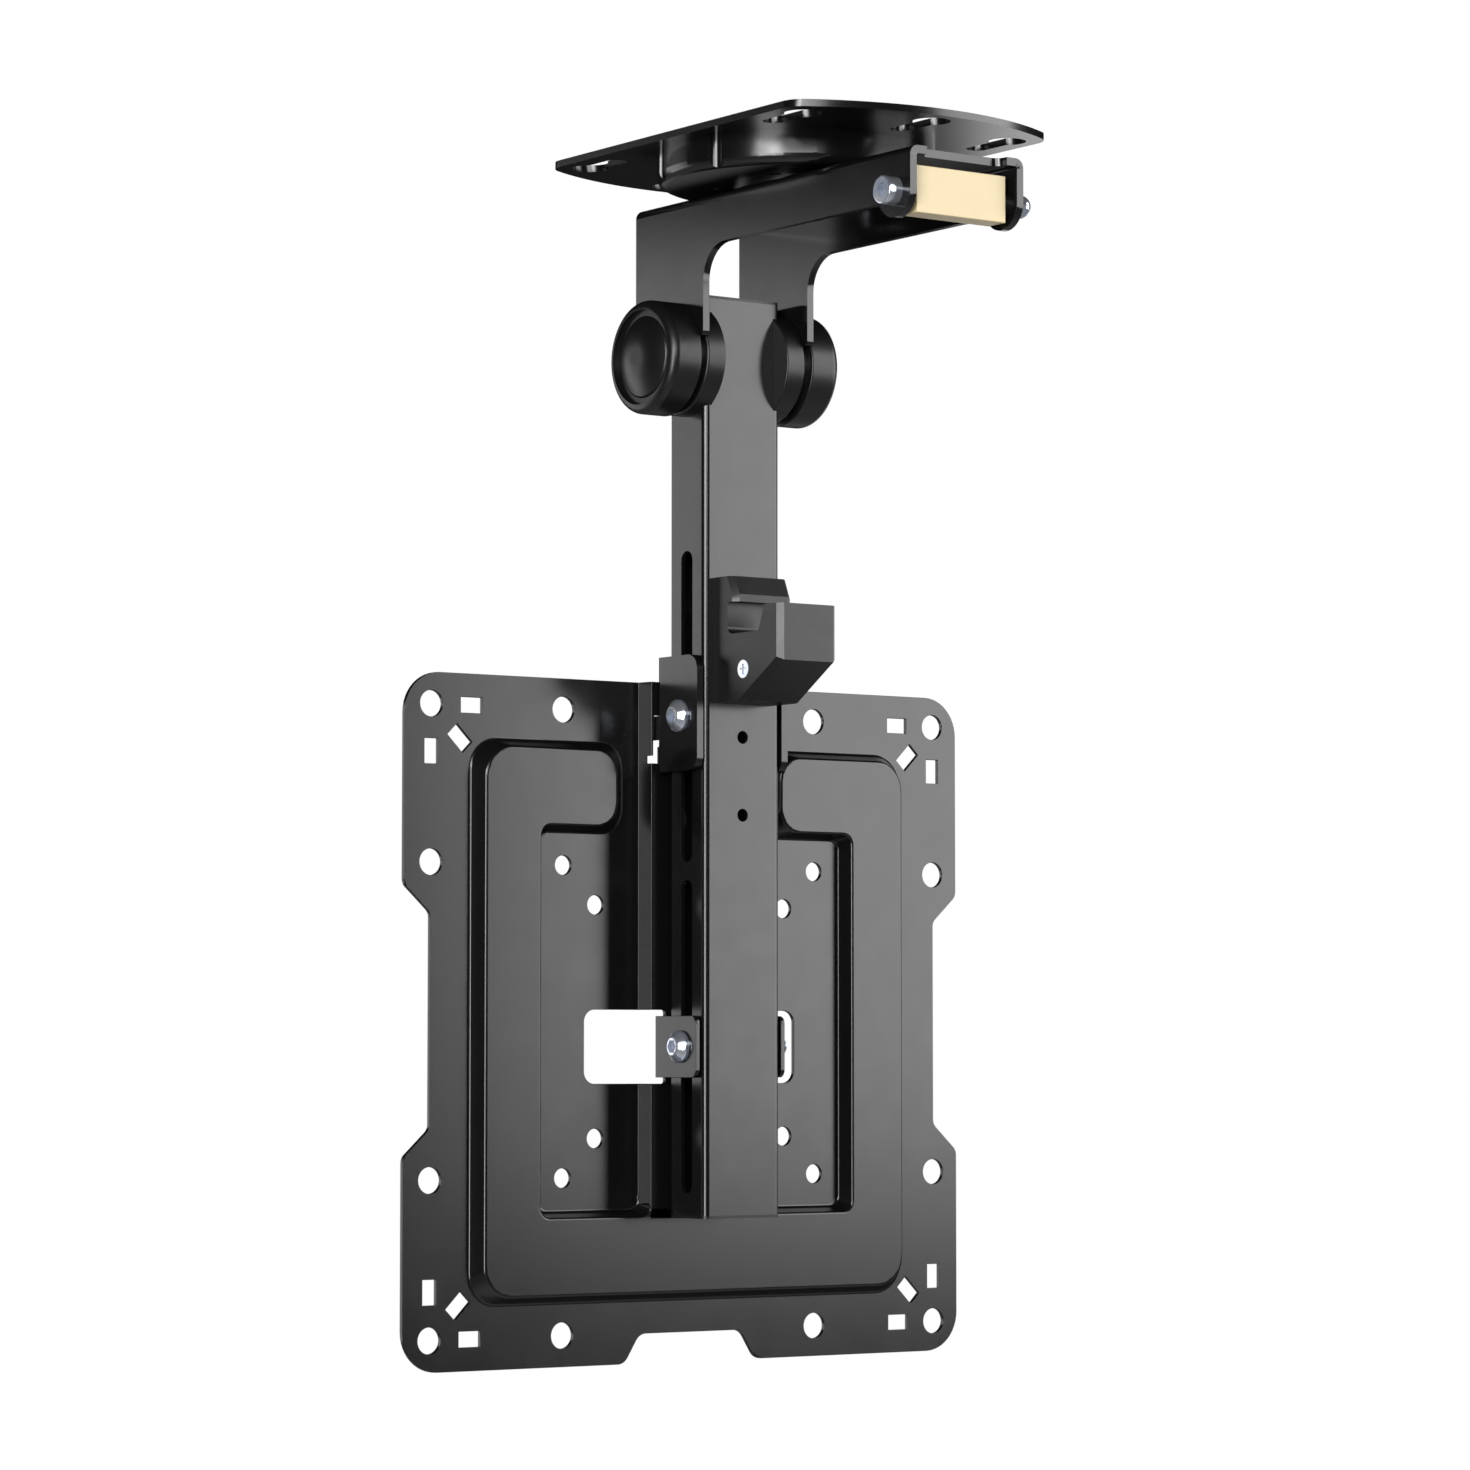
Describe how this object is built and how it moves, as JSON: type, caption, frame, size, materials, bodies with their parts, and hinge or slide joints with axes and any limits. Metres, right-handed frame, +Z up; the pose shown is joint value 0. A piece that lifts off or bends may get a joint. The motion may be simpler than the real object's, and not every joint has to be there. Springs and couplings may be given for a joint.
{
  "type": "tv ceiling mount",
  "caption": "Folding ceiling mount for a small flat television: swivelling yoke, slotted drop mast with a friction hinge and a height-adjustable bolt plate.",
  "frame": {"origin": "centre of the ceiling plate's top face, on the swivel axis", "axes": "+Z up towards the ceiling, +Y towards the television, +X to the right seen from the side of the mast"},
  "size_m": [0.22, 0.1682, 0.3887],
  "materials": {
    "black_paint": "satin",
    "bright_zinc": "bright",
    "black_plastic": "matte",
    "cream_plastic": "satin",
    "natural_nylon": "matte"
  },
  "bodies": {
    "ceiling": {"ceiling_plate": "black_paint", "swivel_washer": "bright_zinc", "swivel_bolt": "bright_zinc", "swivel_glide": "black_plastic", "swivel_low_washer": "bright_zinc", "swivel_nut": "bright_zinc"},
    "yoke": {"yoke": "black_paint", "catch_block": "cream_plastic", "catch_spacers": "black_plastic", "catch_bolt": "bright_zinc", "catch_nut": "bright_zinc", "hinge_cover_left": "black_plastic", "hinge_cover_right": "black_plastic", "hinge_cap_left": "black_plastic", "hinge_cap_right": "black_plastic", "hinge_washer": "bright_zinc", "hinge_springs": "bright_zinc", "hinge_axle": "bright_zinc", "hinge_nut": "bright_zinc"},
    "mast": {"hinge_disc_left": "black_plastic", "hinge_disc_right": "black_plastic", "hinge_core": "natural_nylon", "mast_tube": "black_paint", "tube_cap_top": "black_plastic", "tube_cap_bottom": "black_plastic", "latch_housing": "black_plastic", "latch_pin": "bright_zinc", "latch_screws": "bright_zinc"},
    "carrier": {"vesa_plate": "black_paint", "slide_bracket": "black_paint", "bracket_rivets": "bright_zinc", "upper_bolt": "bright_zinc", "lower_bolt": "bright_zinc", "slide_washers": "natural_nylon"}
  },
  "joints": [
    {"name": "swivel", "type": "hinge", "parent": "ceiling", "child": "yoke", "pos_m": [0, 0, 0], "axis": [0, 0, 1], "continuous": true},
    {"name": "fold", "type": "hinge", "parent": "yoke", "child": "mast", "pos_m": [0, 0.039, -0.06535], "axis": [1, 0, 0], "range_deg": [-90, 0]},
    {"name": "height", "type": "slide", "parent": "mast", "child": "carrier", "axis": [0, 0, 1], "range_m": [-0.0438, 0.0502]}
  ]
}
